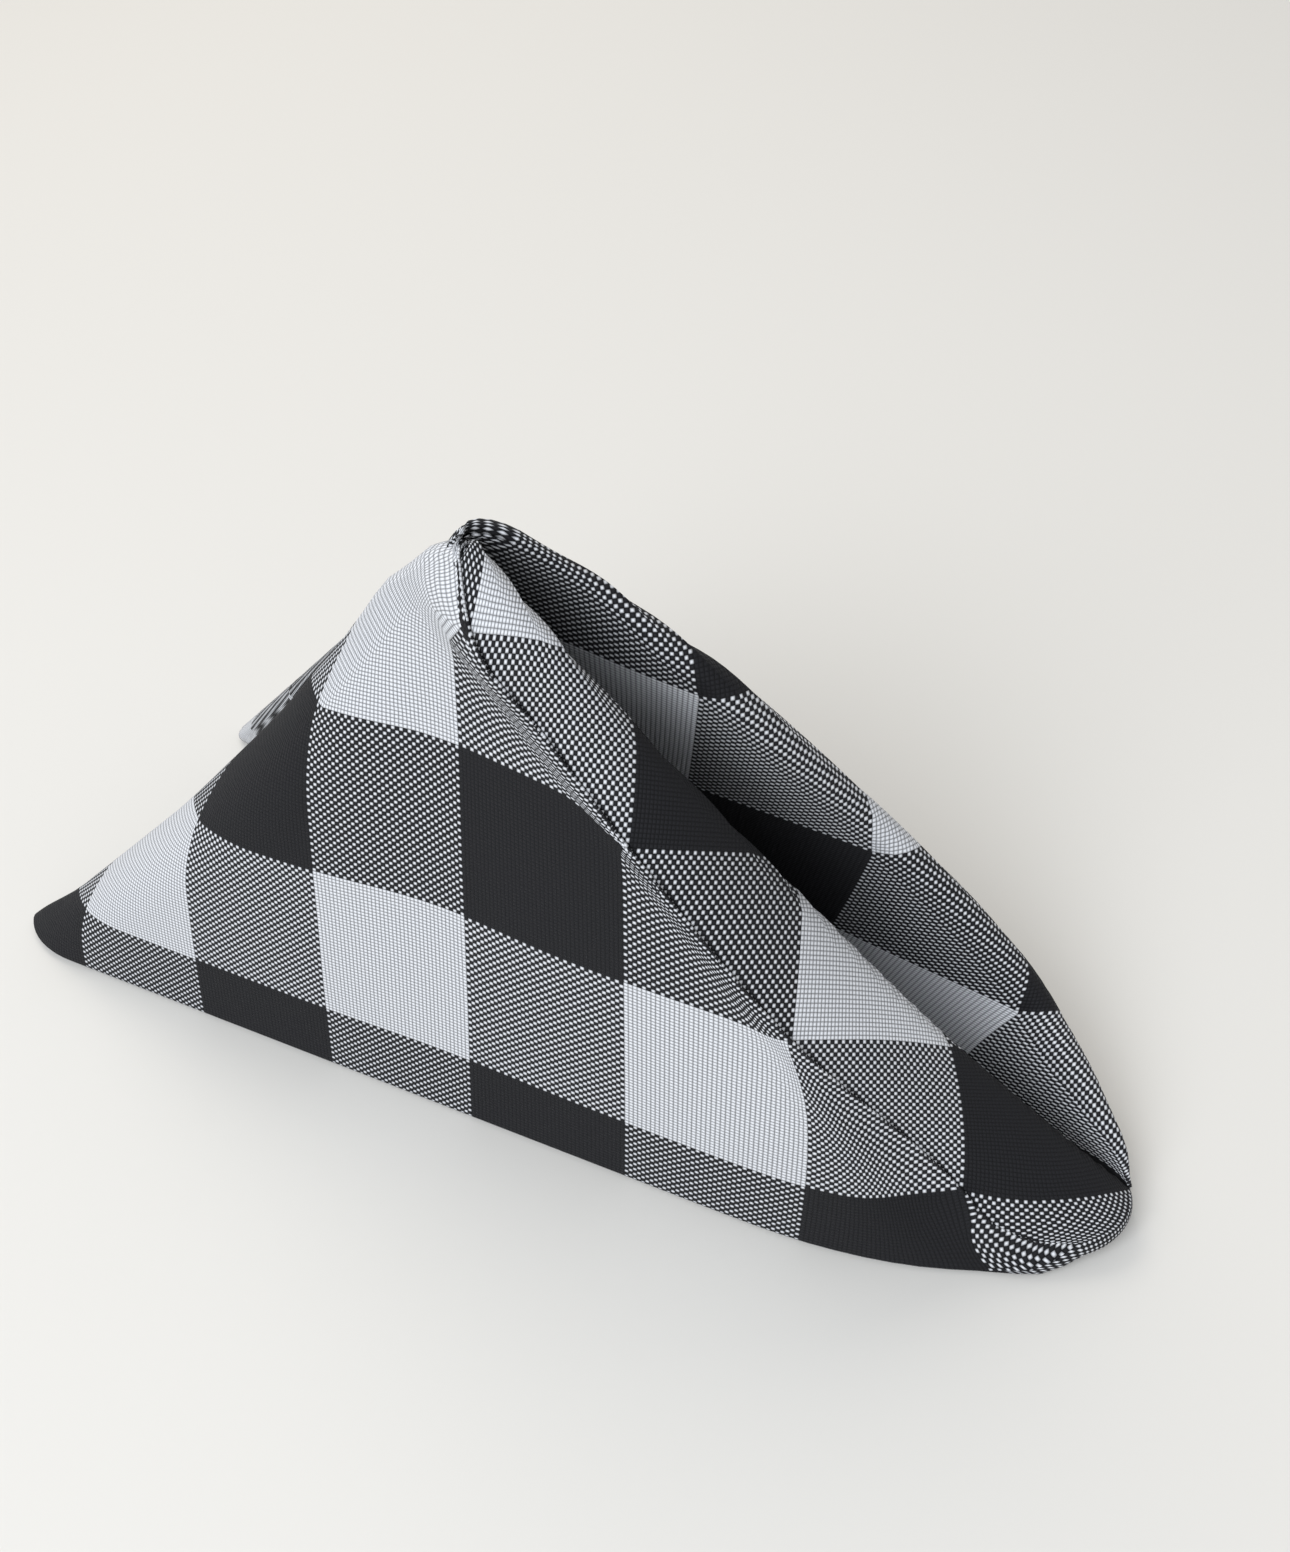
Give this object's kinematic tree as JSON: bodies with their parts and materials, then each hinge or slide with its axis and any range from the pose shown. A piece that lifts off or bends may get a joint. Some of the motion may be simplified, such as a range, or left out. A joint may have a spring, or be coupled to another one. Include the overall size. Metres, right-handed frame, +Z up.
{
  "type": "cloth napkin",
  "caption": "Square check cloth napkin folded into a standing pyramid, with an open tent below and a pocket between its tongue and its side flap.",
  "frame": {"origin": "bottom centre of the bounding box, on the table", "axes": "+Z up, the toe of the fold towards -Y, the plain folded wall towards -X, the wall with the pocket towards +X"},
  "size_m": [0.083, 0.244, 0.1253],
  "materials": {
    "cloth": "matt plain weave in black and white checks"
  },
  "bodies": {
    "root": {"napkin": "cloth"}
  },
  "joints": []
}
